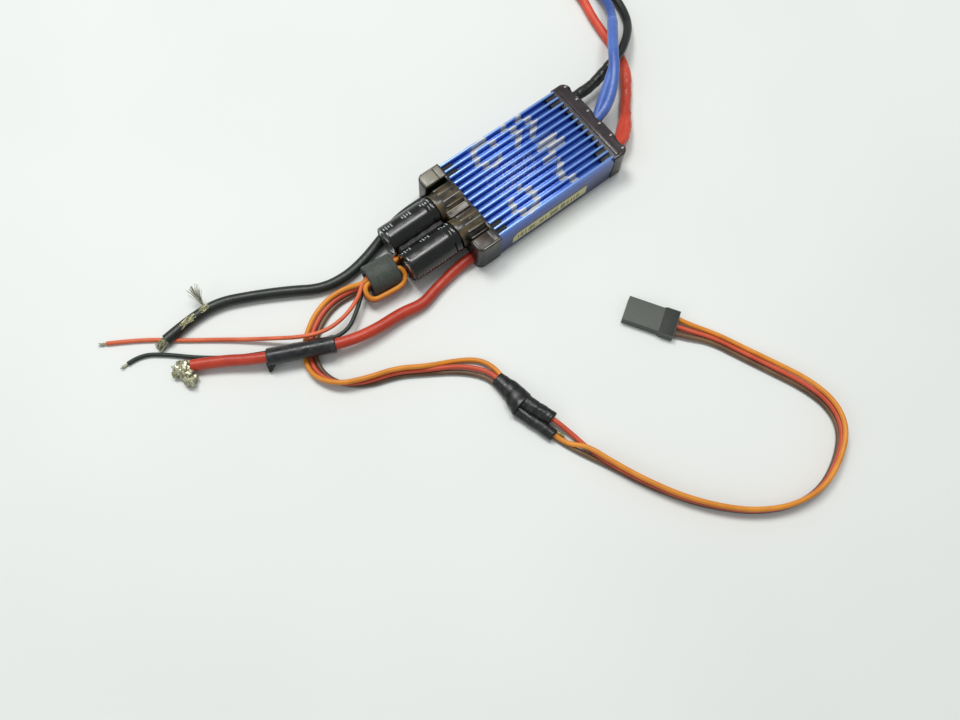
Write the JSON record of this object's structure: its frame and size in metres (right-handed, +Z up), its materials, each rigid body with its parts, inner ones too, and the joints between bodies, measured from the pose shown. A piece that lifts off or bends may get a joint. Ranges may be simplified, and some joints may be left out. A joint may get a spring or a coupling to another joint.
{
  "type": "electronic speed controller",
  "caption": "Brushless motor speed controller: finned blue heat-sink case with smoked end caps, two capacitors, ferrite ring, battery, motor and servo leads, stripped battery ends.",
  "frame": {"origin": "centre of the underside of the case block (case, end caps and capacitors)", "axes": "+X along the cooling fins from the capacitor and battery end to the motor end, +Z up away from the underside, +Y to the black battery lead's side"},
  "size_m": [0.1867, 0.1945, 0.0124],
  "materials": {
    "anodised_blue": "blue anodised, satin",
    "cover_plastic": "matt moulded plastic",
    "smoked_plastic": "smoked glossy plastic",
    "smoked_plastic_dark": "smoked glossy plastic",
    "label_film": "cream satin film",
    "circuit_board": "green solder mask",
    "chip_epoxy": "matt epoxy",
    "thermal_pad": "soft grey pad",
    "copper": "tinned copper bar",
    "inductor_core": "pressed iron powder",
    "ceramic": "fired ceramic with tinned ends",
    "plated_steel": "bright plated",
    "led_lens": "clear tinted lens",
    "gold_plate": "gold plated",
    "can_aluminium": "bright drawn",
    "capacitor_sleeve": "glossy shrunk film",
    "seal_rubber": "black seal",
    "solder": "dull solder",
    "ferrite": "matt fired ferrite",
    "silicone_black": "soft silicone",
    "silicone_red": "soft silicone",
    "silicone_blue": "soft silicone",
    "wire_orange": "soft vinyl",
    "wire_red": "soft vinyl",
    "wire_brown": "soft vinyl",
    "shrink_black": "heat-shrink tube",
    "tape_charcoal": "stretched vinyl tape",
    "tinned_strand": "tinned copper strands",
    "plug_plastic": "satin moulded plastic"
  },
  "bodies": {
    "root": {"aux_wire_black": "silicone_black", "aux_wire_red": "silicone_red", "aux_wire_tips": "tinned_strand", "battery_lead_black": "silicone_black", "battery_lead_red": "silicone_red", "battery_tape_wrap": "tape_charcoal", "bec_inductor": "inductor_core", "bec_regulators": "chip_epoxy", "black_lead_strands": "tinned_strand", "board_pin_header": "gold_plate", "bottom_cover": "cover_plastic", "bullet_shrinks": "shrink_black", "capacitor_bungs": "seal_rubber", "capacitor_leads": "plated_steel", "capacitor_left_can": "can_aluminium", "capacitor_left_sleeve": "capacitor_sleeve", "capacitor_right_can": "can_aluminium", "capacitor_right_sleeve": "capacitor_sleeve", "ceramic_capacitors": "ceramic", "chip_resistors": "chip_epoxy", "control_board": "circuit_board", "copper_bus_bars": "copper", "crystal_oscillator": "plated_steel", "ferrite_ring": "ferrite", "ferrite_turn_brown": "wire_brown", "ferrite_turn_orange": "wire_orange", "ferrite_turn_red": "wire_red", "front_end_cap": "smoked_plastic", "gate_drivers": "chip_epoxy", "heatsink_case": "anodised_blue", "microcontroller": "chip_epoxy", "motor_bullet_sockets": "gold_plate", "motor_lead_black": "silicone_black", "motor_lead_blue": "silicone_blue", "motor_lead_red": "silicone_red", "motor_sleeve_black": "silicone_black", "motor_sleeve_blue": "silicone_blue", "motor_sleeve_red": "silicone_red", "plug_lead_brown": "wire_brown", "plug_lead_orange": "wire_orange", "plug_lead_red": "wire_red", "power_board": "circuit_board", "power_mosfets": "chip_epoxy", "rear_end_cap": "smoked_plastic_dark", "red_lead_solder": "solder", "servo_lead_brown": "wire_brown", "servo_lead_orange": "wire_orange", "servo_lead_red": "wire_red", "servo_plug_contacts": "gold_plate", "servo_plug_housing": "plug_plastic", "side_label": "label_film", "solder_joints": "solder", "splice_joints": "solder", "splice_sleeve_front": "shrink_black", "splice_sleeve_lower": "shrink_black", "splice_sleeve_upper": "shrink_black", "status_led": "led_lens", "thermal_pad": "thermal_pad"}
  },
  "joints": []
}
